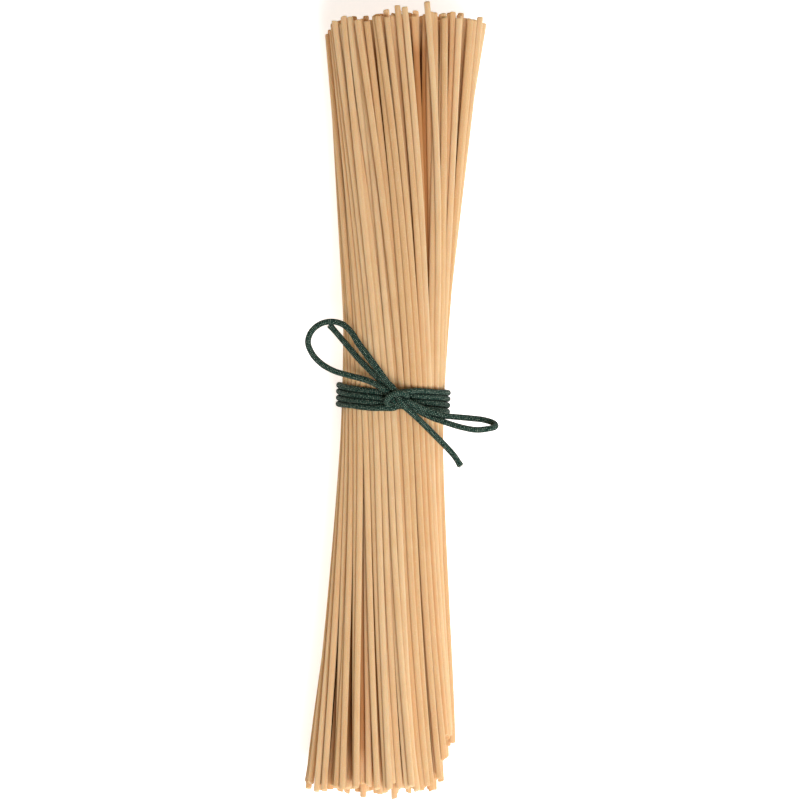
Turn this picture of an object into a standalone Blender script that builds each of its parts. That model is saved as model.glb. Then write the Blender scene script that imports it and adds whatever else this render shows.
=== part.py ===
"""A bundle of dry spaghetti tied round the middle with a green cord, lying on its side.

Metres. X runs across the bundle, Y along it and Z up. The origin is under the middle of the bundle, on the
surface it lies on. The strands twist a little about the bundle's line and spread from the tie to both ends, where
their own weight presses the lowest ones flat against the surface.
"""

import math
import random

import bmesh
import bpy
import numpy as np
from mathutils import Matrix

# The spaghetti.
STRAND_DIAMETER = 0.0021
UPPER_REACH = 0.1285
LOWER_REACH = 0.1305
WAIST_HALF_WIDTH = 0.0175
WAIST_HALF_HEIGHT = 0.0173
WAIST_CLEARANCE = 0.0027
UPPER_SPREAD = 0.172
LOWER_SPREAD = 0.154
HEIGHT_SPREAD = 0.125
UPPER_TWIST = 7.4
LOWER_TWIST = 4.6
TWIST_EASE = 0.18
TIE_BITE = 0.0009
TIE_BITE_REACH = 0.009
TIGHT_REACH = 0.03
STRANDS_ROUND = 52
STRAND_SHOULDER = 0.45
GROOVE_DEPTH = 0.0011
UNEVENNESS = 0.0004
END_UNEVENNESS = 0.0018
END_DOME = 0.0035
SHORT_SIDE_CUT = 0.014
STATIONS_PER_HALF = 8
STATION_CROWDING = 1.5
OUTER_END_RING = 0.66
INNER_END_RING = 0.33

# The cord.
CORD_DIAMETER = 0.002
WINDINGS = 4
WINDING_PITCH = 0.0021
WINDINGS_HALF_WIDTH = 0.01815
WINDINGS_HALF_HEIGHT = 0.0179
WINDINGS_MIDDLE_Y = 0.00055
WINDINGS_LEAN = 0.04
WINDING_SEGMENTS = 48
KNOT_MIDDLE = (0.0005, 0.0005, 0.0416)
KNOT_HALF_SIZE = (0.0037, 0.0034, 0.0021)
TUBE_STEP = 2.6 * CORD_DIAMETER

# Routes of the cord's four free stretches, each from the knot outwards (and back, for a loop).
LEFT_LOOP = (
    (-0.0010, 0.0042, 0.0424),
    (-0.0033, 0.0072, 0.0420),
    (-0.0084, 0.0136, 0.0403),
    (-0.0121, 0.0183, 0.0386),
    (-0.0148, 0.0222, 0.0372),
    (-0.0177, 0.0245, 0.0362),
    (-0.0212, 0.0252, 0.0352),
    (-0.0252, 0.0241, 0.0344),
    (-0.0282, 0.0209, 0.0338),
    (-0.0288, 0.0183, 0.0336),
    (-0.0272, 0.0143, 0.0338),
    (-0.0243, 0.0113, 0.0343),
    (-0.0201, 0.0090, 0.0352),
    (-0.0150, 0.0076, 0.0366),
    (-0.0093, 0.0063, 0.0389),
    (-0.0047, 0.0044, 0.0413),
    (-0.0029, 0.0032, 0.0422),
)
RIGHT_LOOP = (
    (0.0047, -0.0001, 0.0420),
    (0.0064, -0.0011, 0.0415),
    (0.0104, -0.0028, 0.0403),
    (0.0161, -0.0046, 0.0386),
    (0.0212, -0.0050, 0.0366),
    (0.0263, -0.0053, 0.0346),
    (0.0305, -0.0057, 0.0334),
    (0.0335, -0.0066, 0.0345),
    (0.0341, -0.0077, 0.0373),
    (0.0318, -0.0085, 0.0398),
    (0.0279, -0.0090, 0.0408),
    (0.0228, -0.0083, 0.0408),
    (0.0176, -0.0069, 0.0400),
    (0.0125, -0.0052, 0.0384),
    (0.0084, -0.0034, 0.0387),
    (0.0046, -0.0013, 0.0399),
)
UPPER_TAIL = (
    (-0.0026, 0.0044, 0.0401),
    (-0.0063, 0.0079, 0.0382),
    (-0.0115, 0.0128, 0.0358),
    (-0.0164, 0.0182, 0.0336),
    (-0.0220, 0.0243, 0.0314),
)
LOWER_TAIL = (
    (0.0039, -0.0023, 0.0425),
    (0.0054, -0.0034, 0.0418),
    (0.0095, -0.0069, 0.0393),
    (0.0137, -0.0108, 0.0368),
    (0.0179, -0.0148, 0.0346),
    (0.0211, -0.0182, 0.0330),
    (0.0230, -0.0210, 0.0322),
)


def clear_scene():
    for item in list(bpy.data.objects):
        bpy.data.objects.remove(item, do_unlink=True)


def make_material(name, colour, roughness):
    material = bpy.data.materials.new(name)
    material.use_nodes = True
    shader = material.node_tree.nodes["Principled BSDF"]
    shader.inputs["Base Color"].default_value = (*colour, 1.0)
    shader.inputs["Roughness"].default_value = roughness
    shader.inputs["Metallic"].default_value = 0.0
    return material


def add_mesh(name, vertices, faces, material):
    mesh = bpy.data.meshes.new(name)
    mesh.from_pydata(vertices, [], faces)
    mesh.materials.append(material)
    outward = bmesh.new()
    outward.from_mesh(mesh)
    bmesh.ops.recalc_face_normals(outward, faces=outward.faces)
    outward.to_mesh(mesh)
    outward.free()
    item = bpy.data.objects.new(name, mesh)
    bpy.context.collection.objects.link(item)
    return item


def tie_bite(y):
    """How far the tight windings press the strands in, at y."""
    return TIE_BITE * math.exp(-((y / TIE_BITE_REACH) ** 4))


def half_width(y):
    spread = UPPER_SPREAD if y > 0.0 else LOWER_SPREAD
    return math.hypot(WAIST_HALF_WIDTH, spread * y) - tie_bite(y)


def half_height(y):
    return math.hypot(WAIST_HALF_HEIGHT, HEIGHT_SPREAD * y) - tie_bite(y)


def twist(y):
    """How far the strands have turned about the bundle's line at y, in radians, as straight slanting strands do."""
    rate = UPPER_TWIST if y > 0.0 else LOWER_TWIST
    return rate * TWIST_EASE * math.tanh(y / TWIST_EASE)


def surface_point(angle, depth, y):
    """A point on the bundle's skin, `depth` inside it. The angle runs from straight up towards +X."""
    across = (half_width(y) - depth) * math.sin(angle)
    up = (half_height(y) - depth) * math.cos(angle)
    height = WAIST_CLEARANCE + WAIST_HALF_HEIGHT + up
    return (across, y, max(0.0, height))


def end_place(angle, side, rng):
    """Where a rim strand ends along Y: sooner at the sides, and soonest at the lower end's right side."""
    reach = end_middle(side) - END_DOME * math.sin(angle) ** 2
    reach += rng.uniform(-1.0, 1.0) * END_UNEVENNESS
    if side < 0:
        reach -= SHORT_SIDE_CUT * max(0.0, math.sin(angle) - 0.5)
    return side * reach


def end_middle(side):
    """How far the strands in the middle of an end reach."""
    return UPPER_REACH if side > 0 else LOWER_REACH


def bundle_ring(y, wobble, ends=None):
    """Three points for each strand at the rim: the groove before it and the two shoulders of its crown."""
    points = []
    loose = min(1.0, abs(y) / TIGHT_REACH)
    pitch = 2.0 * math.pi / STRANDS_ROUND
    shoulder = STRAND_SHOULDER * STRAND_DIAMETER / (half_width(y) + half_height(y))
    for strand in range(STRANDS_ROUND):
        angle = (strand + 0.5) * pitch - twist(y)
        here = y if ends is None else ends[strand]
        before = y if ends is None else min(ends[strand], ends[strand - 1], key=abs)
        points.append(surface_point(angle - 0.5 * pitch, GROOVE_DEPTH, before))
        depth = loose * wobble[strand]
        points.append(surface_point(angle - shoulder, depth, here))
        points.append(surface_point(angle + shoulder, depth, here))
    return points


def end_face_ring(rim, share, side, rng):
    """A ring of strand ends further in on an end face, one for each rim strand."""
    middle = WAIST_CLEARANCE + WAIST_HALF_HEIGHT
    ring = []
    for strand in range(STRANDS_ROUND):
        x, y, z = rim[3 * strand + 1]
        level = share * abs(y) + (1.0 - share) * end_middle(side)
        y = side * (level + rng.uniform(-1.0, 1.0) * END_UNEVENNESS)
        ring.append((share * x, y, middle + share * (z - middle)))
    return ring


def ring_faces(first, second, count):
    """Quads between two rings with the same number of points."""
    faces = []
    for i in range(count):
        j = (i + 1) % count
        faces.append((first + i, first + j, second + j, second + i))
    return faces


def end_face(rim_start, inner_start):
    """Triangles from a rim of three points a strand to a ring of one point a strand."""
    faces = []
    for strand in range(STRANDS_ROUND):
        after = (strand + 1) % STRANDS_ROUND
        groove, left, right = (rim_start + 3 * strand + k for k in range(3))
        next_groove = rim_start + 3 * after
        inner, next_inner = inner_start + strand, inner_start + after
        faces.append((groove, left, inner))
        faces.append((left, right, inner))
        faces.append((right, next_groove, next_inner))
        faces.append((right, next_inner, inner))
    return faces


def build_spaghetti_bundle(material):
    rng = random.Random(11)
    wobble = [rng.uniform(-1.0, 1.0) * UNEVENNESS for _ in range(STRANDS_ROUND)]
    pitch = 2.0 * math.pi / STRANDS_ROUND
    rings = []
    for step in range(-STATIONS_PER_HALF, STATIONS_PER_HALF + 1):
        side = 1 if step > 0 else -1
        y = side * end_middle(side) * (abs(step) / STATIONS_PER_HALF) ** STATION_CROWDING
        ends = None
        if abs(step) == STATIONS_PER_HALF:
            ends = [end_place((k + 0.5) * pitch - twist(y), side, rng) for k in range(STRANDS_ROUND)]
        rings.append(bundle_ring(y, wobble, ends))
    around = 3 * STRANDS_ROUND
    vertices = [point for ring in rings for point in ring]
    faces = []
    for k in range(len(rings) - 1):
        faces += ring_faces(k * around, (k + 1) * around, around)
    for side, rim, rim_start in ((-1, rings[0], 0), (1, rings[-1], (len(rings) - 1) * around)):
        outer_start = len(vertices)
        vertices += end_face_ring(rim, OUTER_END_RING, side, rng)
        inner_start = len(vertices)
        vertices += end_face_ring(rim, INNER_END_RING, side, rng)
        centre = len(vertices)
        vertices.append((0.0, side * end_middle(side), WAIST_CLEARANCE + WAIST_HALF_HEIGHT))
        faces += end_face(rim_start, outer_start)
        faces += ring_faces(outer_start, inner_start, STRANDS_ROUND)
        for strand in range(STRANDS_ROUND):
            faces.append((inner_start + strand, inner_start + (strand + 1) % STRANDS_ROUND, centre))
    return add_mesh("spaghetti_bundle", vertices, faces, material)


def windings_section():
    """The outline of the turns side by side, as (outwards, along Y): round outside, straight against the strands."""
    radius = CORD_DIAMETER / 2.0
    first = -(WINDINGS - 1) / 2.0
    outline = []
    for turn in range(WINDINGS):
        middle = (first + turn) * WINDING_PITCH
        for degrees in (-80, -40, 0, 40, 80):
            angle = math.radians(degrees)
            outline.append((radius * math.cos(angle), middle + radius * math.sin(angle)))
    edge = outline[-1][1]
    outline += [(-radius, edge - 0.3 * radius), (-radius, -edge + 0.3 * radius)]
    return outline


def build_tie_windings(material):
    section = windings_section()
    count = len(section)
    vertices, faces = [], []
    for k in range(WINDING_SEGMENTS):
        angle = 2.0 * math.pi * k / WINDING_SEGMENTS
        for out, along in section:
            x = (WINDINGS_HALF_WIDTH + out) * math.sin(angle)
            z = (WINDINGS_HALF_HEIGHT + out) * math.cos(angle)
            y = WINDINGS_MIDDLE_Y + along - WINDINGS_LEAN * x
            vertices.append((x, y, WAIST_CLEARANCE + WAIST_HALF_HEIGHT + z))
        ahead = (k + 1) % WINDING_SEGMENTS
        for i in range(count):
            j = (i + 1) % count
            faces.append((k * count + i, k * count + j, ahead * count + j, ahead * count + i))
    return add_mesh("tie_windings", vertices, faces, material)


def build_tie_knot(material):
    bpy.ops.mesh.primitive_uv_sphere_add(segments=20, ring_count=10, radius=1.0, location=KNOT_MIDDLE)
    item = bpy.context.active_object
    item.name = "tie_knot"
    item.data.transform(Matrix.Diagonal((*KNOT_HALF_SIZE, 1.0)))
    item.data.materials.append(material)
    item.data.shade_smooth()
    return item


def smooth_route(route, step):
    """Points every `step` along a smooth curve through the route's own points."""
    points = np.array(route)
    gaps = np.linalg.norm(np.diff(points, axis=0), axis=1)
    knots = np.concatenate(([0.0], np.cumsum(gaps)))
    slopes = np.gradient(points, knots, axis=0)
    fine = []
    for i, gap in enumerate(gaps):
        for t in np.linspace(0.0, 1.0, 24, endpoint=False):
            h00 = 2 * t**3 - 3 * t**2 + 1
            h10 = t**3 - 2 * t**2 + t
            h01 = -2 * t**3 + 3 * t**2
            h11 = t**3 - t**2
            along = gap * (h10 * slopes[i] + h11 * slopes[i + 1])
            fine.append(h00 * points[i] + h01 * points[i + 1] + along)
    fine.append(points[-1])
    fine = np.array(fine)
    travel = np.concatenate(([0.0], np.cumsum(np.linalg.norm(np.diff(fine, axis=0), axis=1))))
    stops = np.linspace(0.0, travel[-1], max(3, round(travel[-1] / step) + 1))
    return np.stack([np.interp(stops, travel, fine[:, k]) for k in range(3)], axis=1)


def build_tube(name, route, material):
    points = smooth_route(route, TUBE_STEP)
    curve = bpy.data.curves.new(name, "CURVE")
    curve.dimensions = "3D"
    curve.bevel_depth = CORD_DIAMETER / 2.0
    curve.bevel_resolution = 2
    curve.use_fill_caps = True
    spline = curve.splines.new("POLY")
    spline.points.add(len(points) - 1)
    for point, place in zip(spline.points, points):
        point.co = (*place, 1.0)
    curve.materials.append(material)
    item = bpy.data.objects.new(name, curve)
    bpy.context.collection.objects.link(item)
    return item


def build_all():
    clear_scene()
    pasta = make_material("dry_pasta", (0.70, 0.45, 0.22), 0.6)
    cord = make_material("green_cord", (0.045, 0.075, 0.055), 0.55)
    build_spaghetti_bundle(pasta)
    build_tie_windings(cord)
    build_tie_knot(cord)
    for name, route in (
        ("tie_loop_left", LEFT_LOOP),
        ("tie_loop_right", RIGHT_LOOP),
        ("tie_tail_upper", UPPER_TAIL),
        ("tie_tail_lower", LOWER_TAIL),
    ):
        build_tube(name, route, cord)


build_all()
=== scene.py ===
"""A bundle of dry spaghetti tied at the waist with a waxed green cord, lying on a pale table.

The bundle lies along Y with its bow upwards, and the camera looks straight down on it. The pieces are built
in the order in which it is made: the strands gathered and twisted, then the cord wound round and tied.
"""

import math

import bpy
import numpy as np
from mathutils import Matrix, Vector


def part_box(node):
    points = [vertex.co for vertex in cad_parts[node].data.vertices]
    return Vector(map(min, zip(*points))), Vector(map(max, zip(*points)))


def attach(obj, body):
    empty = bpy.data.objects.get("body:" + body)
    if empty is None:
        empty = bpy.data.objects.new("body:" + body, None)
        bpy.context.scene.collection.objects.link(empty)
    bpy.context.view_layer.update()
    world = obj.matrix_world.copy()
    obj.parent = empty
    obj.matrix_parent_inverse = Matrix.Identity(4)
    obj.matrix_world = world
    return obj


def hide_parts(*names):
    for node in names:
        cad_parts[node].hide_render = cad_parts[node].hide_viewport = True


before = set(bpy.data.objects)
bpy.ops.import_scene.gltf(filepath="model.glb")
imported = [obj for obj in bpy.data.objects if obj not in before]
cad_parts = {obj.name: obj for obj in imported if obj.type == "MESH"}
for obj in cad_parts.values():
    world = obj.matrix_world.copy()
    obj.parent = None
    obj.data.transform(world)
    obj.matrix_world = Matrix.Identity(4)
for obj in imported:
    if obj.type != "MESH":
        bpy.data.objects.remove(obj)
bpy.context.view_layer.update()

# ----------------------------------------------------------------------------------------------------------
# The table and the light. A white table top, a broad soft lamp from the lower right with a smaller one
# above it, and weaker, warmer light from all round. The camera hangs over the middle of the bundle.


def linear(hex_colour):
    """An sRGB hex colour as linear RGBA: each channel through the sRGB curve."""
    channels = np.array([int(hex_colour[i : i + 2], 16) for i in (1, 3, 5)]) / 255.0
    flat = np.where(channels <= 0.04045, channels / 12.92, ((channels + 0.055) / 1.055) ** 2.4)
    return (*flat.tolist(), 1.0)


def add_node(tree, kind, settings=(), **links):
    """Adds one node. Settings are its properties, and links its inputs: each a value or a node's socket."""
    node = tree.nodes.new(kind)
    for name, value in dict(settings).items():
        setattr(node, name, value)
    for name, value in links.items():
        socket = node.inputs[int(name[1:])] if name[1:].isdigit() else node.inputs[name.replace("_", " ")]
        if isinstance(value, bpy.types.NodeSocket):
            tree.links.new(value, socket)
        else:
            socket.default_value = value
    return node


def new_material(name):
    """A material with its node tree and its Principled shader."""
    material = bpy.data.materials.new(name)
    material.use_nodes = True
    return material, material.node_tree, material.node_tree.nodes["Principled BSDF"]


def table_top():
    """A square plane under the origin, far wider than the view."""
    half = 1.5
    mesh = bpy.data.meshes.new("table_top")
    corners = [(-half, -half, 0.0), (half, -half, 0.0), (half, half, 0.0), (-half, half, 0.0)]
    mesh.from_pydata(corners, [], [(0, 1, 2, 3)])
    item = bpy.data.objects.new("table_top", mesh)
    bpy.context.scene.collection.objects.link(item)
    # Opal acrylic of a light table: white and matt, with a little light coming through it, so shadows stay
    # faint.
    material, tree, shader = new_material("opal_acrylic")
    shader.inputs["Base Color"].default_value = linear("#f8f8f8")
    shader.inputs["Roughness"].default_value = 0.7
    shader.inputs["Emission Color"].default_value = (1.0, 1.0, 1.0, 1.0)
    shader.inputs["Emission Strength"].default_value = 0.68
    mesh.materials.append(material)


def soft_lamp(name, place, aim, size, power, colour):
    """A square area lamp that faces a point."""
    light = bpy.data.lights.new(name, "AREA")
    light.shape = "SQUARE"
    light.size = size
    light.energy = power
    light.color = colour
    item = bpy.data.objects.new(name, light)
    item.location = place
    towards = np.array(aim) - np.array(place)
    item.rotation_euler = (
        math.atan2(math.hypot(towards[0], towards[1]), -towards[2]),
        0.0,
        math.atan2(-towards[0], towards[1]),
    )
    bpy.context.scene.collection.objects.link(item)


def overhead_camera(across, middle, lean, distance):
    """A long lens that looks straight down on a point, turned by `lean` degrees."""
    data = bpy.data.cameras.new("camera")
    data.type = "PERSP"
    data.sensor_width = 36.0
    data.lens = data.sensor_width * distance / across
    item = bpy.data.objects.new("camera", data)
    item.location = (middle[0], middle[1], middle[2] + distance)
    item.rotation_euler = (0.0, 0.0, math.radians(lean))
    bpy.context.scene.collection.objects.link(item)
    bpy.context.scene.camera = item


MIDDLE = (0.0, 0.0, 0.02)
table_top()
soft_lamp("key_lamp", (0.80, -0.50, 0.93), aim=MIDDLE, size=1.0, power=4.7, colour=(0.95, 1.0, 1.1))
soft_lamp("front_lamp", (0.26, -0.42, 1.17), aim=MIDDLE, size=0.5, power=11.0, colour=(0.99, 1.0, 1.07))
overhead_camera(across=0.2667, middle=(0.0023, 0.0, 0.02), lean=1.9, distance=2.0)
world = bpy.data.worlds.new("studio")
world.use_nodes = True
world.node_tree.nodes["Background"].inputs["Color"].default_value = (1.0, 0.80, 0.59, 1.0)
world.node_tree.nodes["Background"].inputs["Strength"].default_value = 0.25
bpy.context.scene.world = world
bpy.context.scene.view_settings.view_transform = "Standard"

# ----------------------------------------------------------------------------------------------------------
# The spaghetti. Some 225 strands of dried durum wheat pasta, cut to one length and gathered in the hand.
# They lie close at the waist and spread towards both ends with a slight twist, the lowest down to the table.

# Lengths are in metres. A spread is the outline's slope far from the waist, and a twist is in radians per
# metre at the waist and eases off within TWIST_EASE.
STRAND_DIAMETER = 0.00206
STRAND_LENGTH = 0.257
STRANDS = 226
WAIST_HALF = np.array([0.0171, 0.0169])
WAIST_HEIGHT = 0.0200
SPREAD_UPPER = 0.172
SPREAD_LOWER = 0.154
SPREAD_UP = 0.125
TWIST_UPPER = 7.4
TWIST_LOWER = 4.6
TWIST_EASE = 0.18
rng = np.random.default_rng(7)


def packed_waist(count, half, diameter, rounds):
    """Places of strands in an oval, as close as they go. They start on a sunflower spiral, and round by
    round any two nearer than a diameter push apart and none crosses the oval's rim."""
    number = np.arange(count) + 0.5
    angle = number * math.pi * (3.0 - math.sqrt(5.0))
    place = np.sqrt(number / count)[:, None] * np.stack([np.cos(angle), np.sin(angle)], axis=1)
    place = place * (half - diameter / 2.0) + rng.normal(0.0, 0.15 * diameter, (count, 2))
    for _ in range(rounds):
        offset = place[:, None] - place[None, :]
        gap = np.linalg.norm(offset, axis=2) + np.eye(count)
        push = np.where(gap < diameter, (diameter - gap) / gap, 0.0)
        place += 0.3 * (offset * push[..., None]).sum(axis=1)
        level = np.linalg.norm(place / (half - diameter / 2.0), axis=1)[:, None]
        place /= np.maximum(level, 1.0)
    return place


def gathered(place, y):
    """Where strands at `place` in the waist lie at each y: turned by the twist and spread by the flare. The
    flare is a hyperbola, as the outline of straight strands that slant past each other."""
    upper = y > 0.0
    spread = np.where(upper, SPREAD_UPPER, SPREAD_LOWER)
    turn = np.where(upper, TWIST_UPPER, TWIST_LOWER) * TWIST_EASE * np.tanh(y / TWIST_EASE)
    share = place / WAIST_HALF
    level = np.linalg.norm(share, axis=1)[:, None]
    angle = np.arctan2(share[:, 0], share[:, 1])[:, None] - turn
    x = level * np.hypot(WAIST_HALF[0], spread * y) * np.sin(angle)
    z = level * np.hypot(WAIST_HALF[1], SPREAD_UP * y) * np.cos(angle)
    return x, WAIST_HEIGHT + z


def settled(x, z, y, radius, rounds):
    """Lets the strands settle. Each round pushes overlapping strands apart at every station, draws them
    weakly to their gathered places, keeps them on the table and inside the tie, and then smooths each
    strand to the gentle curves that a stiff strand can take: a few low waves along its length."""
    aim_x, aim_z = x.copy(), z.copy()
    t = y / y.max()
    waves = np.stack([np.ones_like(t), t, np.sqrt(t**2 + 0.05), t**2, t**3, t**5], axis=1)
    weight = np.where(np.abs(y) < 0.006, 4.0, 1.0)[:, None]
    smooth = waves @ np.linalg.solve(waves.T @ (weight * waves), (weight * waves).T)
    tight = np.abs(y) < 0.006
    half_x, half_z = (half - radius[:, None] for half in WAIST_HALF)
    for k in range(rounds):
        if k % 20 == 0:
            wide = np.hypot(x[:, None] - x[None, :], z[:, None] - z[None, :]).min(axis=2)
            first, second = np.nonzero(np.triu(wide < 2.4 * STRAND_DIAMETER, 1))
        dx, dz = x[first] - x[second], z[first] - z[second]
        gap = np.hypot(dx, dz) + 1e-9
        reach = (radius[first] + radius[second])[:, None]
        push = np.where(gap < reach, 0.5 * (reach - gap) / gap, 0.0)
        for value, step in ((x, dx * push), (z, dz * push)):
            np.add.at(value, first, 0.7 * step)
            np.add.at(value, second, -0.7 * step)
        ease = 0.02
        x += ease * (aim_x - x)
        z += ease * (aim_z - z)
        z = np.maximum(z, radius[:, None])
        level = np.hypot(x / half_x, (z - WAIST_HEIGHT) / half_z)
        shrink = np.where(tight & (level > 1.0), 1.0 / level, 1.0)
        x = x * shrink
        z = WAIST_HEIGHT + (z - WAIST_HEIGHT) * shrink
        x = x @ smooth.T
        z = z @ smooth.T
    return x, z


waist = packed_waist(STRANDS, WAIST_HALF, STRAND_DIAMETER, 500)
stations = np.linspace(-0.132, 0.132, 23)
strand_radius = STRAND_DIAMETER / 2.0 * rng.normal(1.0, 0.015, STRANDS)
x, z = gathered(waist, stations)
# No two strands are laid quite alike: each slants and bows a little of its own.
slant = rng.normal(0.0, 0.008, (2, STRANDS, 1)) * stations
bow = rng.normal(0.0, 0.0005, (2, STRANDS, 1)) * (stations / 0.13) ** 2
x = x + slant[0] + bow[0]
z = z + slant[1] + bow[1]


def parted(x, z, y, end, place, width, depth, least):
    """Opens a gap in the upper layers towards one end: strands to either side of `place` there move half
    the gap's width away from it, less with depth below the top and with distance to the side, and `least`
    of it at the waist."""
    beside = x[:, end] - place
    top = WAIST_HEIGHT + math.hypot(WAIST_HALF[1], SPREAD_UP * y[end])
    below = np.exp(-(((top - z[:, end]) / depth) ** 2))
    move = 0.5 * width * np.tanh(beside / 0.0008) * np.exp(-np.abs(beside) / 0.009) * below
    reach = np.clip(y / y[end], 0.0, None)
    return x + move[:, None] * (least * np.clip(reach / 0.1, 0.0, 1.0) + (1.0 - least) * reach**1.3)


# The gaps that show: three towards the upper end and two towards the lower. The last row draws one together.
for end, place, width, depth, least in (
    (-1, 0.0058, 0.0043, 0.0130, 0.0),
    (-1, -0.0061, 0.0026, 0.0060, 0.0),
    (-1, -0.0125, 0.0022, 0.0050, 0.25),
    (0, -0.0110, 0.0030, 0.0090, 0.0),
    (0, -0.0046, 0.0026, 0.0055, 0.0),
    (0, 0.0182, -0.0020, 0.0150, 0.0),
):
    x = parted(x, z, stations, end, place, width, depth, least)
x, z = settled(x, z, stations, strand_radius, 400)

# Where each strand lies along Y. They were tapped nearly even and then slid a little as they were twisted.
shift = -0.0016 + 0.0020 * waist[:, 0] / WAIST_HALF[0] + rng.normal(0.0, 0.0009, STRANDS)
length = STRAND_LENGTH + rng.normal(0.0, 0.0004, STRANDS)
# Some have lost a little of their lower end, most of all in three columns at its right rim: each column
# counts from the rim inwards and has lost so much. The outermost slant the most, so they reach less far up.
BROKEN_COLUMNS = ((0.0060, 0.0035), (0.0036, 0.0100), (0.0017, 0.0142))
from_rim = x[:, 0].max() - x[:, 0]
missing = np.minimum(rng.exponential(0.0028, STRANDS), 0.0090)
for column, broken in BROKEN_COLUMNS:
    missing = np.where(from_rim < column, broken + rng.normal(0.0, 0.0003, STRANDS), missing)
lost = 0.0022 * (np.abs(x[:, -2]) / np.abs(x[:, -2]).max()) ** 8
shift += (missing - lost) / 2.0
length -= missing + lost
# Three strands on top stand out at the upper end: where each lies across it, and how far it has slid.
PROUD_STRANDS = ((-0.0030, 0.0025), (0.0021, 0.0021), (0.0083, 0.0040))
for place, proud in PROUD_STRANDS:
    proudest = np.argmin(np.abs(x[:, -2] - place) + 0.8 * (z[:, -2].max() - z[:, -2]))
    shift[proudest] = proud + missing[proudest] / 2.0
    length[proudest] = STRAND_LENGTH - missing[proudest]

RINGS = 27
SIDES = 14
slope_x = np.gradient(x, stations, axis=1)
slope_z = np.gradient(z, stations, axis=1)
stretch = np.sqrt(1.0 + slope_x**2 + slope_z**2).mean(axis=1)
half_reach = length / stretch / 2.0
share = np.linspace(-1.0, 1.0, RINGS - 4)
# The last two rings at each end carry the worn edge of the cut: how far they lie beyond the full rings.
worn = np.array([0.00045, 0.0003])
y = shift[:, None] + (half_reach - worn[0])[:, None] * share[None, :]
y = np.concatenate([y[:, :1] - worn, y, y[:, -1:] + worn[::-1]], axis=1)


def along_strands(value):
    """A value given at the stations, read at each strand's own rings."""
    place = (y - stations[0]) / (stations[1] - stations[0])
    low = np.clip(place.astype(int), 0, len(stations) - 2)
    part = place - low
    row = np.arange(STRANDS)[:, None]
    before, after = value[row, np.maximum(low - 1, 0)], value[row, np.minimum(low + 2, len(stations) - 1)]
    here, ahead = value[row, low], value[row, low + 1]
    leave, arrive = (ahead - before) / 2.0, (after - here) / 2.0
    curve = (2 * part**3 - 3 * part**2 + 1) * here + (part**3 - 2 * part**2 + part) * leave
    return curve + (3 * part**2 - 2 * part**3) * ahead + (part**3 - part**2) * arrive


centre = np.stack([along_strands(x), y, along_strands(z)], axis=2)
# Both ends are cut, not always square: each cut face leans its own way, and its edge is worn a little round.
lean = np.clip(rng.normal(0.0, 1.0, (2, 2, STRANDS)), -1.8, 1.8) * np.array([0.26, 0.14])[:, None, None]
angle = 2.0 * math.pi * np.arange(SIDES) / SIDES
ring_size = np.ones(RINGS)
ring_size[[0, 1, -2, -1]] = [0.78, 0.95, 0.90, 0.60]
# Pressed together as they dried, the strands are a little squarer than round: a power below 1 flattens them.
SQUARENESS = 0.84
across, up = (np.sign(wave) * np.abs(wave) ** SQUARENESS for wave in (np.sin(angle), -np.cos(angle)))
ring_radius = (strand_radius[:, None] * ring_size)[..., None]
offset_x = ring_radius * across
offset_z = ring_radius * up
offset_y = np.zeros((STRANDS, RINGS, SIDES))
for end, rows in ((0, slice(0, 3)), (1, slice(RINGS - 3, RINGS))):
    cut = lean[end, 0][:, None, None] * offset_x[:, rows] + lean[end, 1][:, None, None] * offset_z[:, rows]
    offset_y[:, rows] = cut
# The rings stand square to the strand, so a slanting strand keeps its thickness.
offset_y -= along_strands(slope_x)[..., None] * offset_x
offset_y -= along_strands(slope_z)[..., None] * offset_z
points = centre[:, :, None] + np.stack([offset_x, offset_y, offset_z], axis=3)
tips = (centre[:, [0, -1]]).reshape(STRANDS, 2, 3)


def sheltered(points, centre, radius):
    """How sheltered each point of a strand's skin is, from 0 in the open to 1: the nearer the next strand's
    skin and the deeper in the bundle, the more. The first share falls off as exp(-clearance), the second
    with the level, which is 1 on the bundle's oval outline and 0 on its axis. Both fade at the open ends."""
    touch_fade = 0.00032
    open_end = 0.1300
    end_fade = 0.016
    near = np.empty(points.shape[:3])
    for ring in range(points.shape[1]):
        across = points[:, ring, :, None, ::2] - centre[None, None, :, ring, ::2]
        clear = np.linalg.norm(across, axis=3) - radius
        clear[np.arange(len(radius)), :, np.arange(len(radius))] = 1.0
        near[:, ring] = clear.min(axis=2)
    touch = 0.55 * np.exp(-np.clip(near, 0.0, None) / touch_fade)
    spread = np.where(points[..., 1] > 0.0, SPREAD_UPPER, SPREAD_LOWER)
    level_x = points[..., 0] / np.hypot(WAIST_HALF[0], spread * points[..., 1])
    level_z = (points[..., 2] - WAIST_HEIGHT) / np.hypot(WAIST_HALF[1], SPREAD_UP * points[..., 1])
    level = np.hypot(level_x, level_z)
    deep = 0.8 * np.clip((0.95 - level) / 0.15, 0.0, 1.0) + 0.2 * np.clip((0.75 - level) / 0.15, 0.0, 1.0)
    lit_ends = np.clip((open_end - np.abs(points[..., 1])) / end_fade, 0.2, 1.0)
    return np.maximum(touch, deep) * lit_ends


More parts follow.
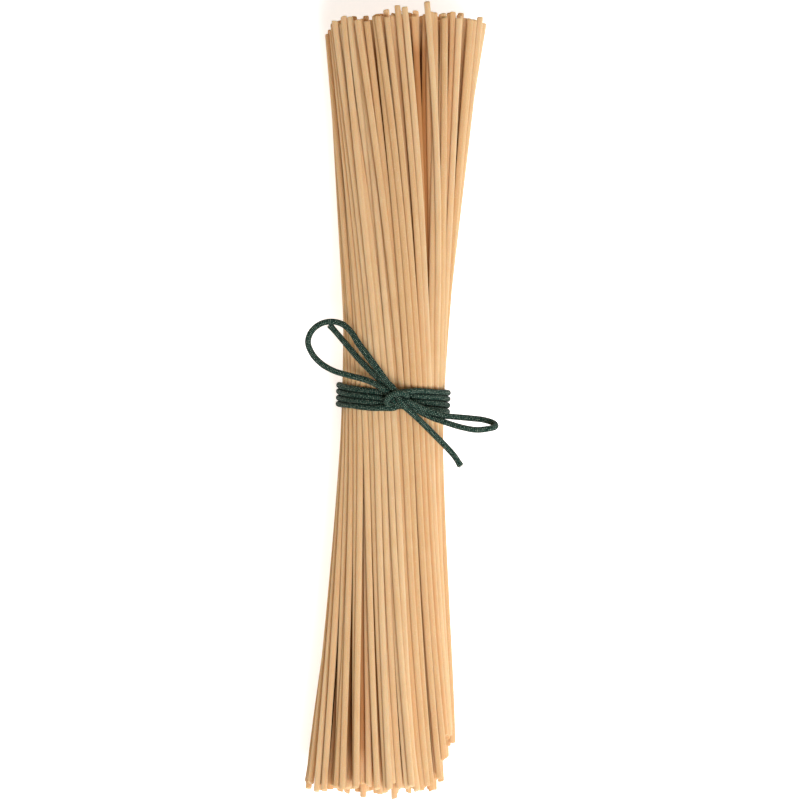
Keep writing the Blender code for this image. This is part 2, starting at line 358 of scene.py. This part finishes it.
# This sets the painted shade in the pasta's colour: amber where strands touch, dark brown deep in the bundle.
painted_shade = sheltered(points, centre, strand_radius)
per_strand = RINGS * SIDES + 2
points = np.concatenate([points.reshape(STRANDS, -1, 3), tips], axis=1)
ring = np.arange(RINGS - 1)[:, None] * SIDES
one, two = np.arange(SIDES)[None, :], ((np.arange(SIDES) + 1) % SIDES)[None, :]
quads = np.stack([ring + one, ring + two, ring + SIDES + two, ring + SIDES + one], axis=2).reshape(-1, 4)
last = (RINGS - 1) * SIDES
near_cap = np.stack([two[0], one[0], np.full(SIDES, RINGS * SIDES)], axis=1)
far_cap = np.stack([last + one[0], last + two[0], np.full(SIDES, RINGS * SIDES + 1)], axis=1)
first = np.arange(STRANDS)[:, None, None] * per_strand
quads = (quads[None] + first).reshape(-1, 4)
caps = (np.concatenate([near_cap, far_cap])[None] + first).reshape(-1, 3)
mesh = bpy.data.meshes.new("spaghetti_strands")
mesh.from_pydata(points.reshape(-1, 3).tolist(), [], [*quads.tolist(), *caps.tolist()])
mesh.shade_smooth()
# The map's u goes once round a strand, with its seam underneath, and v is the centimetres along it.
u = np.stack([one, one + 1, one + 1, one], axis=2) / SIDES
v = y[:, :, None] / 0.01
v = np.stack([v[:, :-1], v[:, :-1], v[:, 1:], v[:, 1:]], axis=3)
sides_map = np.stack(np.broadcast_arrays(u[None], v), axis=4).reshape(-1, 2)
ends_map = np.tile(np.array([[0.02, 0.0], [0.0, 0.02], [0.01, 0.01]]), (len(caps), 1))
uv = mesh.uv_layers.new(name="along_strand")
uv.data.foreach_set("uv", np.concatenate([sides_map, ends_map]).astype(np.float32).ravel())
spaghetti_strands = bpy.data.objects.new("spaghetti_strands", mesh)
bpy.context.scene.collection.objects.link(spaghetti_strands)
tone = np.repeat(rng.random(STRANDS), per_strand).astype(np.float32)
mesh.attributes.new("tone", "FLOAT", "POINT").data.foreach_set("value", tone)
painted_shade = np.concatenate([painted_shade.reshape(STRANDS, -1), painted_shade[:, [0, -1]].mean(axis=2)], axis=1)
mesh.attributes.new("painted_shade", "FLOAT", "POINT").data.foreach_set("value", painted_shade.astype(np.float32).ravel())
# Dried durum wheat pasta drawn through bronze: amber inside and floury outside, so it is matt and lets some
# light through. Each strand has its own tone, faint streaks from the die and pale specks of flour. The
# specks are drawn coarser than the real 0.1 mm, or they would not show.
material, tree, shader = new_material("dried_durum_pasta")
coordinates = add_node(tree, "ShaderNodeTexCoord")
strand_tone = add_node(tree, "ShaderNodeAttribute", {"attribute_name": "tone"})
apart = add_node(tree, "ShaderNodeVectorMath", {"operation": "SCALE"}, _0=(31.0, 17.0, 0.0))
tree.links.new(strand_tone.outputs["Fac"], apart.inputs["Scale"])
lengthwise = add_node(
    tree, "ShaderNodeVectorMath", {"operation": "MULTIPLY_ADD"},
    _0=coordinates.outputs["UV"], _1=(14.0, 0.45, 0.0), _2=apart.outputs[0],
)
streaks = add_node(
    tree, "ShaderNodeTexNoise",
    Vector=lengthwise.outputs[0], Scale=1.0, Detail=3.0, Roughness=0.6,
)
flour = add_node(
    tree, "ShaderNodeTexNoise",
    Vector=coordinates.outputs["Object"], Scale=2600.0, Detail=3.0, Roughness=0.7,
)
cloudy = add_node(
    tree, "ShaderNodeTexNoise",
    Vector=coordinates.outputs["Object"], Scale=140.0, Detail=2.0, Roughness=0.5,
)
tones = add_node(tree, "ShaderNodeValToRGB", Fac=strand_tone.outputs["Fac"])
tones.color_ramp.elements[0].color = linear("#e1c08f")
tones.color_ramp.elements[1].color = linear("#edd5ab")
middle_tone = tones.color_ramp.elements.new(0.45)
middle_tone.color = linear("#e8cb9d")
streak_share = add_node(
    tree, "ShaderNodeMapRange", _0=streaks.outputs["Fac"], _1=0.35, _2=0.7, _3=0.0, _4=0.45,
)
streaked = add_node(
    tree, "ShaderNodeMix", {"data_type": "RGBA", "blend_type": "MULTIPLY"},
    _0=streak_share.outputs[0], _6=tones.outputs["Color"], _7=linear("#f2dcc4"),
)
speck_share = add_node(
    tree, "ShaderNodeMapRange", _0=flour.outputs["Fac"], _1=0.56, _2=0.74, _3=0.0, _4=0.55,
)
floured = add_node(
    tree, "ShaderNodeMix", {"data_type": "RGBA"},
    _0=speck_share.outputs[0], _6=streaked.outputs[2], _7=linear("#f6e2c4"),
)
cloud_share = add_node(
    tree, "ShaderNodeMapRange", _0=cloudy.outputs["Fac"], _1=0.4, _2=0.7, _3=0.0, _4=0.18,
)
clouded = add_node(
    tree, "ShaderNodeMix", {"data_type": "RGBA", "blend_type": "MULTIPLY"},
    _0=cloud_share.outputs[0], _6=floured.outputs[2], _7=linear("#ecd6bc"),
)
# Painted shade and painted light: where strands touch, the colour turns amber for light come through the
# strands, and deep in the bundle it darkens to brown for shade.
painted_shade_attribute = add_node(tree, "ShaderNodeAttribute", {"attribute_name": "painted_shade"})
painted_shade_ramp = add_node(tree, "ShaderNodeValToRGB", Fac=painted_shade_attribute.outputs["Fac"])
painted_shade_ramp.color_ramp.elements[0].color = linear("#e3b27c")
painted_shade_ramp.color_ramp.elements[0].position = 0.45
painted_shade_ramp.color_ramp.elements[1].color = linear("#6e4122")
painted_deep_shade = painted_shade_ramp.color_ramp.elements.new(0.82)
painted_deep_shade.color = linear("#bd8148")
painted_shade_share = add_node(
    tree, "ShaderNodeMath", {"operation": "MULTIPLY", "use_clamp": True},
    _0=painted_shade_attribute.outputs["Fac"], _1=1.25,
)
painted_shade_mix = add_node(
    tree, "ShaderNodeMix", {"data_type": "RGBA"},
    _0=painted_shade_share.outputs[0], _6=clouded.outputs[2], _7=painted_shade_ramp.outputs["Color"],
)
tree.links.new(painted_shade_mix.outputs[2], shader.inputs["Base Color"])
grain = add_node(
    tree, "ShaderNodeMath", {"operation": "MULTIPLY_ADD"},
    _0=streaks.outputs["Fac"], _1=1.5, _2=flour.outputs["Fac"],
)
bump = add_node(tree, "ShaderNodeBump", Strength=0.5, Distance=0.00006, Height=grain.outputs[0])
tree.links.new(bump.outputs["Normal"], shader.inputs["Normal"])
shader.inputs["Roughness"].default_value = 0.62
shader.inputs["IOR"].default_value = 1.45
shader.inputs["Specular IOR Level"].default_value = 0.15
shader.inputs["Diffuse Roughness"].default_value = 1.0
shader.inputs["Subsurface Weight"].default_value = 0.35
shader.inputs["Subsurface Radius"].default_value = (1.0, 0.6, 0.35)
shader.inputs["Subsurface Scale"].default_value = 0.0018
mesh.materials.append(material)
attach(spaghetti_strands, "root")
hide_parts("spaghetti_bundle")

# ----------------------------------------------------------------------------------------------------------
# The cord. One length of 2 mm waxed cotton cord, braided: it comes from its lower cut end through the knot,
# makes the left loop, crosses in the half knot, goes four times round the strands, wraps over the knot as
# its band, makes the right loop, and goes back under the band to its upper cut end.

CORD_DIAMETER = 0.002
# The route of the cord's middle, from the lower cut end to the upper one.
LOWER_TAIL = (
    (0.0230, -0.0210, 0.0322),
    (0.0211, -0.0182, 0.0330),
    (0.0179, -0.0148, 0.0346),
    (0.0137, -0.0108, 0.0368),
    (0.0095, -0.0069, 0.0393),
    (0.0054, -0.0034, 0.0418),
    (0.0039, -0.0023, 0.0425),
)
KNOT_TO_LEFT_LOOP = ((0.0026, -0.0005, 0.0427), (0.0011, 0.0018, 0.0427))
LEFT_LOOP = (
    (-0.0010, 0.0042, 0.0424),
    (-0.0033, 0.0072, 0.0420),
    (-0.0084, 0.0136, 0.0403),
    (-0.0121, 0.0183, 0.0386),
    (-0.0148, 0.0222, 0.0372),
    (-0.0177, 0.0245, 0.0362),
    (-0.0212, 0.0252, 0.0352),
    (-0.0252, 0.0241, 0.0344),
    (-0.0282, 0.0209, 0.0338),
    (-0.0288, 0.0183, 0.0336),
    (-0.0272, 0.0143, 0.0338),
    (-0.0243, 0.0113, 0.0343),
    (-0.0201, 0.0090, 0.0352),
    (-0.0150, 0.0076, 0.0366),
    (-0.0093, 0.0063, 0.0389),
    (-0.0047, 0.0044, 0.0413),
    (-0.0029, 0.0032, 0.0422),
)
HALF_KNOT_OUT = ((-0.0012, 0.0024, 0.0416), (0.0012, 0.0024, 0.0404), (0.0046, 0.0029, 0.0396))
BAND = (
    (-0.0034, -0.0027, 0.0392),
    (0.0000, -0.0027, 0.0399),
    (0.0030, -0.0015, 0.0402),
    (0.0046, 0.0006, 0.0412),
    (0.0041, 0.0020, 0.0430),
    (0.0019, 0.0025, 0.0444),
    (-0.0005, 0.0019, 0.0447),
    (-0.0020, 0.0004, 0.0439),
    (-0.0024, -0.0012, 0.0425),
    (-0.0016, -0.0020, 0.0411),
    (-0.0002, -0.0014, 0.0404),
    (0.0020, -0.0004, 0.0409),
)
RIGHT_LOOP = (
    (0.0047, -0.0001, 0.0420),
    (0.0064, -0.0011, 0.0415),
    (0.0104, -0.0028, 0.0403),
    (0.0161, -0.0046, 0.0386),
    (0.0212, -0.0050, 0.0366),
    (0.0263, -0.0053, 0.0346),
    (0.0305, -0.0057, 0.0334),
    (0.0335, -0.0066, 0.0345),
    (0.0341, -0.0077, 0.0373),
    (0.0318, -0.0085, 0.0398),
    (0.0279, -0.0090, 0.0408),
    (0.0228, -0.0083, 0.0408),
    (0.0176, -0.0069, 0.0400),
    (0.0125, -0.0052, 0.0384),
    (0.0084, -0.0034, 0.0387),
    (0.0046, -0.0013, 0.0399),
)
KNOT_TO_UPPER_TAIL = ((0.0022, -0.0013, 0.0409), (0.0002, 0.0002, 0.0419), (-0.0010, 0.0022, 0.0415))
UPPER_TAIL = (
    (-0.0026, 0.0044, 0.0401),
    (-0.0063, 0.0079, 0.0382),
    (-0.0115, 0.0128, 0.0358),
    (-0.0164, 0.0182, 0.0336),
    (-0.0220, 0.0243, 0.0314),
)
WINDINGS = 4
WINDING_PITCH = 0.0021
low, high = (np.array(corner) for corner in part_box("tie_windings"))
windings_middle = (low + high) / 2.0
windings_half = (high - low) / 2.0 - CORD_DIAMETER / 2.0


def windings_route():
    """The turns round the waist, as points: an oval in XZ whose place along Y steps down by one pitch each
    turn. Each turn leans from the left side down to the right, and the turns are drawn together where the
    knot grips them."""
    turn = np.linspace(0.07, WINDINGS - 0.07, 26 * WINDINGS)
    angle = 2.0 * math.pi * turn
    # Key places of each turn along Y: under the knot, right side, underneath and left side.
    right = 0.0029 - WINDING_PITCH * np.arange(WINDINGS)
    left = 0.0044 - WINDING_PITCH * np.arange(WINDINGS)
    crossing = 0.0019 - 0.0019 * np.arange(WINDINGS - 1)
    stops = [0.0]
    places = [0.0030]
    for k in range(WINDINGS):
        stops += [k + 0.25, k + 0.5, k + 0.75]
        places += [right[k], (right[k] + left[k]) / 2.0, left[k]]
        if k < WINDINGS - 1:
            stops.append(k + 1.0)
            places.append(crossing[k])
    stops.append(float(WINDINGS))
    places.append(-0.0028)
    along = np.interp(turn, stops, places)
    x = windings_middle[0] + windings_half[0] * np.sin(angle)
    z = windings_middle[2] + windings_half[2] * np.cos(angle)
    return np.stack([x, along, z], axis=1)


def smooth_line(route, step):
    """Points every `step` along the smooth curve through the route's points: cubic pieces whose slopes at
    each point come from its neighbours."""
    points = np.array(route)
    gaps = np.linalg.norm(np.diff(points, axis=0), axis=1)
    knots = np.concatenate(([0.0], np.cumsum(gaps)))
    slopes = np.gradient(points, knots, axis=0)
    t = np.linspace(0.0, 1.0, 24, endpoint=False)[None, :, None]
    start, end = points[:-1, None], points[1:, None]
    leave, arrive = (gaps[:, None] * s for s in (slopes[:-1], slopes[1:]))
    curve = (2 * t**3 - 3 * t**2 + 1) * start + (t**3 - 2 * t**2 + t) * leave[:, None]
    curve = curve + (3 * t**2 - 2 * t**3) * end + (t**3 - t**2) * arrive[:, None]
    curve = np.concatenate((curve.reshape(-1, 3), points[-1:]))
    travel = np.concatenate(([0.0], np.cumsum(np.linalg.norm(np.diff(curve, axis=0), axis=1))))
    stops = np.linspace(0.0, travel[-1], round(travel[-1] / step) + 1)
    return np.stack([np.interp(stops, travel, curve[:, k]) for k in range(3)], axis=1)


def pull_tight(line, centre, reach, distance, rounds):
    """Settles the knot without letting the cord pass through itself. Round by round, each point near
    `centre` moves a little towards the middle of its neighbours, any two stretches nearer than `distance`
    push apart, and no point sinks below the oval on which the turns lie."""
    line = line.copy()
    near = np.where(np.linalg.norm(line - centre, axis=1) < reach)[0]
    hold = np.clip((reach - np.linalg.norm(line[near] - centre, axis=1)) / (0.4 * reach), 0.0, 1.0)[:, None]
    apart = np.abs(near[:, None] - near[None, :])
    skip = int(1.6 * distance / np.linalg.norm(line[1] - line[0]))
    for k in range(rounds):
        middle = (line[near - 1] + line[near + 1]) / 2.0
        line[near] += 0.1 * hold * (middle - line[near])
        offset = line[near][:, None] - line[near][None, :]
        gap = np.linalg.norm(offset, axis=2) + 1e-9
        push = np.where((gap < distance) & (apart > skip), (distance - gap) / gap, 0.0)
        line[near] += 0.2 * hold * (offset * push[..., None]).sum(axis=1)
        place = (line[near] - windings_middle) / windings_half
        level = np.hypot(place[:, 0], place[:, 2])[:, None]
        lifted = windings_middle + (line[near] - windings_middle) / np.minimum(level, 1.0)
        line[near] = np.where([True, False, True], lifted, line[near])
    return line


STEP = 0.00045
route = [*LOWER_TAIL, *KNOT_TO_LEFT_LOOP, *LEFT_LOOP, *HALF_KNOT_OUT]
route = [*route, *windings_route().tolist(), *BAND, *RIGHT_LOOP, *KNOT_TO_UPPER_TAIL, *UPPER_TAIL]
cord_line = smooth_line(route, STEP)
knot_centre = np.array(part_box("tie_knot")).mean(axis=0)
cord_line = pull_tight(cord_line, knot_centre, reach=0.016, distance=0.92 * CORD_DIAMETER, rounds=140)
cord_line = smooth_line(cord_line[::3], STEP)


def tube_round(line, radius, sides):
    """Rings of points round a line. Each ring stands square to the line, and its start is carried from ring
    to ring without turning."""
    along = np.gradient(line, axis=0)
    along /= np.linalg.norm(along, axis=1)[:, None]
    side = np.zeros_like(line)
    side[0] = np.cross(along[0], (0.0, 0.0, 1.0))
    for k in range(1, len(line)):
        side[k] = side[k - 1] - along[k] * side[k - 1].dot(along[k])
        side[k] /= np.linalg.norm(side[k])
    up = np.cross(along, side)
    angle = 2.0 * math.pi * np.arange(sides) / sides
    out = np.cos(angle)[None, :, None] * side[:, None] + np.sin(angle)[None, :, None] * up[:, None]
    return line[:, None] + np.asarray(radius)[..., None] * out


def grid_faces(rows, columns):
    """Quads of a closed tube of `rows` rings with `columns` points each, as point numbers."""
    first = np.arange(rows - 1)[:, None] * columns + np.arange(columns)[None, :]
    after = np.arange(rows - 1)[:, None] * columns + (np.arange(columns) + 1)[None, :] % columns
    return np.stack([first, after, after + columns, first + columns], axis=2).reshape(-1, 4)


SIDES = 16
BRAID_REPEAT = 0.0012
LEG_PLACE = 0.049
LEG_REACH = 0.010
travel = np.concatenate(([0.0], np.cumsum(np.linalg.norm(np.diff(cord_line, axis=0), axis=1))))
# The cord is not quite even: its radius wanders by a few hundredths, it is fuller along the left loop's
# upper leg, and the cut ends swell a little where the braid has come loose.
from_end = np.minimum(travel, travel[-1] - travel)[:, None]
uneven = np.interp(travel, travel[::11], rng.normal(0.0, 0.015, len(travel[::11])))[:, None]
fuller = 0.15 * np.exp(-(((travel - LEG_PLACE) / LEG_REACH) ** 2))[:, None]
swell = 0.16 * np.exp(-((from_end / 0.0011) ** 2))
radius = (CORD_DIAMETER / 2.0) * (1.0 + uneven + fuller + swell) * np.ones(SIDES)
points = tube_round(cord_line, radius, SIDES)
# How closely each point of the skin lies against another stretch of the cord, from 0 in the open to 1 at a
# touch: exp(-clearance). It sets painted shade in the cord's colour. Stretches less than three diameters away
# along the cord don't count.
CLOSE_SHADE_FADE = 0.00035
distant = np.abs(travel[:, None] - travel[None, :]) > 3.0 * CORD_DIAMETER
close_shade = np.zeros((len(cord_line), SIDES))
for side in range(SIDES):
    across = np.linalg.norm(points[:, None, side] - cord_line[None], axis=2)
    clear = np.where(distant, across, 1.0).min(axis=1) - CORD_DIAMETER / 2.0
    close_shade[:, side] = np.exp(-np.clip(clear, 0.0, None) / CLOSE_SHADE_FADE)
faces = grid_faces(len(cord_line), SIDES)
ends = [tuple(range(SIDES)), tuple(range((len(cord_line) - 1) * SIDES, len(cord_line) * SIDES))[::-1]]


def frayed(line, count, base, longest):
    """Loose fibres at a line's last point: thin three-sided spikes that start inside the cut face and splay
    outwards. Returns their points and their faces, numbered from 0."""
    root_depth = 0.0003
    fibre_radius = 0.00012
    ahead = line[-1] - line[-2]
    ahead = ahead / np.linalg.norm(ahead)
    side = np.cross(ahead, (0.3, 0.2, 1.0))
    side = side / np.linalg.norm(side)
    up = np.cross(ahead, side)
    angle = rng.random(count) * 2.0 * math.pi
    out = np.cos(angle)[:, None] * side + np.sin(angle)[:, None] * up
    root = line[-1] + out * (base * np.sqrt(rng.random(count)))[:, None] - root_depth * ahead
    length = longest * (0.45 + 0.55 * rng.random(count))[:, None]
    tip = root + length * (ahead + 0.55 * rng.random((count, 1)) * out)
    corner = 2.0 * math.pi * np.arange(3) / 3.0
    ring = np.cos(corner)[:, None] * side + np.sin(corner)[:, None] * up
    spikes = np.concatenate([root[:, None] + fibre_radius * ring, tip[:, None]], axis=1)
    sides = np.array([[1, 0, 3], [2, 1, 3], [0, 2, 3], [0, 1, 2]])
    return spikes.reshape(-1, 3), (sides[None] + 4 * np.arange(count)[:, None, None]).reshape(-1, 3)


first_fray, fray_faces = frayed(cord_line[::-1], count=22, base=0.0009, longest=0.0013)
last_fray, _ = frayed(cord_line, count=22, base=0.0009, longest=0.0011)
count = len(cord_line) * SIDES
all_points = np.concatenate([points.reshape(-1, 3), first_fray, last_fray])
all_fray = np.concatenate([fray_faces + count, fray_faces + count + len(first_fray)])
mesh = bpy.data.meshes.new("tie_cord")
mesh.from_pydata(all_points.tolist(), [], [*faces[:, ::-1].tolist(), *ends, *all_fray.tolist()])
mesh.shade_smooth()
# The map's u goes once round the cord and v is the length along it in repeats of the braid.
u = (np.arange(SIDES)[:, None] + np.array([0, 1, 1, 0]))[None] / SIDES
v = np.stack([travel[1:], travel[1:], travel[:-1], travel[:-1]], axis=1)[:, None, :] / BRAID_REPEAT
tube_map = np.stack(np.broadcast_arrays(u, v), axis=3).reshape(-1, 2)
loops = np.zeros((len(mesh.loops), 2), dtype=np.float32)
loops[: len(tube_map)] = tube_map
mesh.uv_layers.new(name="along_cord").data.foreach_set("uv", loops.ravel())
close_shade = np.concatenate([close_shade.ravel(), np.zeros(len(all_points) - count)]).astype(np.float32)
mesh.attributes.new("close_shade", "FLOAT", "POINT").data.foreach_set("value", close_shade)
tie_cord = bpy.data.objects.new("tie_cord", mesh)
bpy.context.scene.collection.objects.link(tie_cord)

# Waxed cotton, dyed forest green and braided, with a low shine from the wax. The yarns' tops are rubbed
# paler, and the hollows between yarns are painted nearly black as shade. Pale flecks in rows along the yarns,
# at their crossings, are painted highlights.
material, tree, shader = new_material("waxed_cotton_cord")
coordinates = add_node(tree, "ShaderNodeTexCoord")
split = add_node(tree, "ShaderNodeSeparateXYZ", Vector=coordinates.outputs["UV"])
yarn_tops = []
for hand in (1.0, -1.0):
    along_yarn = add_node(tree, "ShaderNodeMath", {"operation": "MULTIPLY"}, _0=split.outputs["Y"], _1=hand)
    turn = add_node(
        tree, "ShaderNodeMath", {"operation": "MULTIPLY_ADD"},
        _0=split.outputs["X"], _1=6.0, _2=along_yarn.outputs[0],
    )
    phase = add_node(tree, "ShaderNodeMath", {"operation": "MULTIPLY"}, _0=turn.outputs[0], _1=2.0 * math.pi)
    yarn_tops.append(add_node(tree, "ShaderNodeMath", {"operation": "COSINE"}, _0=phase.outputs[0]))
braid = add_node(
    tree, "ShaderNodeMath", {"operation": "MAXIMUM"},
    _0=yarn_tops[0].outputs[0], _1=yarn_tops[1].outputs[0],
)
stretched = add_node(
    tree, "ShaderNodeVectorMath", {"operation": "MULTIPLY"},
    _0=coordinates.outputs["UV"], _1=(9.0, 1.2, 1.0),
)
fibres = add_node(
    tree, "ShaderNodeTexNoise",
    Vector=stretched.outputs[0], Scale=2.4, Detail=3.0, Roughness=0.65,
)
highlight_noise = add_node(
    tree, "ShaderNodeTexNoise",
    Vector=stretched.outputs[0], Scale=1.1, Detail=2.0, Roughness=0.6,
)
top_share = add_node(tree, "ShaderNodeMapRange", _0=braid.outputs[0], _1=-0.2, _2=1.0, _3=0.0, _4=1.0)
# Painted shade: the hollows between the yarns are drawn near black, the tops paler.
yarn_and_hollow_shade = add_node(
    tree, "ShaderNodeMix", {"data_type": "RGBA"},
    _0=top_share.outputs[0], _6=linear("#04120e"), _7=linear("#24473d"),
)
crossing = add_node(
    tree, "ShaderNodeMath", {"operation": "MULTIPLY"},
    _0=yarn_tops[0].outputs[0], _1=yarn_tops[1].outputs[0],
)
knuckle = add_node(tree, "ShaderNodeMapRange", _0=crossing.outputs[0], _1=0.15, _2=0.85, _3=0.0, _4=1.0)
# Painted highlights: pale flecks where the yarns cross, in rows along them.
highlight_place = add_node(tree, "ShaderNodeMapRange", _0=highlight_noise.outputs["Fac"], _1=0.40, _2=0.66, _3=0.05, _4=1.0)
highlight_share = add_node(
    tree, "ShaderNodeMath", {"operation": "MULTIPLY"}, _0=highlight_place.outputs[0], _1=knuckle.outputs[0],
)
painted_highlights = add_node(
    tree, "ShaderNodeMix", {"data_type": "RGBA"},
    _0=highlight_share.outputs[0], _6=yarn_and_hollow_shade.outputs[2], _7=linear("#b6c5b0"),
)
# Painted shade: little light comes in between stretches that lie close, so dark lines painted into the colour
# part them.
close_shade_attribute = add_node(tree, "ShaderNodeAttribute", {"attribute_name": "close_shade"})
line_shade_share = add_node(
    tree, "ShaderNodeMapRange", _0=close_shade_attribute.outputs["Fac"], _1=0.15, _2=0.8, _3=0.0, _4=0.85,
)
painted_shade_lines = add_node(
    tree, "ShaderNodeMix", {"data_type": "RGBA"},
    _0=line_shade_share.outputs[0], _6=painted_highlights.outputs[2], _7=linear("#04100c"),
)
tree.links.new(painted_shade_lines.outputs[2], shader.inputs["Base Color"])
relief = add_node(
    tree, "ShaderNodeMath", {"operation": "MULTIPLY_ADD"},
    _0=fibres.outputs["Fac"], _1=0.8, _2=braid.outputs[0],
)
bump = add_node(tree, "ShaderNodeBump", Strength=1.0, Distance=0.00011, Height=relief.outputs[0])
tree.links.new(bump.outputs["Normal"], shader.inputs["Normal"])
sheen = add_node(tree, "ShaderNodeMapRange", _0=fibres.outputs["Fac"], _1=0.3, _2=0.7, _3=0.5, _4=0.75)
tree.links.new(sheen.outputs[0], shader.inputs["Roughness"])
shader.inputs["IOR"].default_value = 1.45
shader.inputs["Specular IOR Level"].default_value = 0.04
mesh.materials.append(material)
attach(tie_cord, "root")
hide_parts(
    "tie_windings",
    "tie_knot",
    "tie_loop_left",
    "tie_loop_right",
    "tie_tail_upper",
    "tie_tail_lower",
)
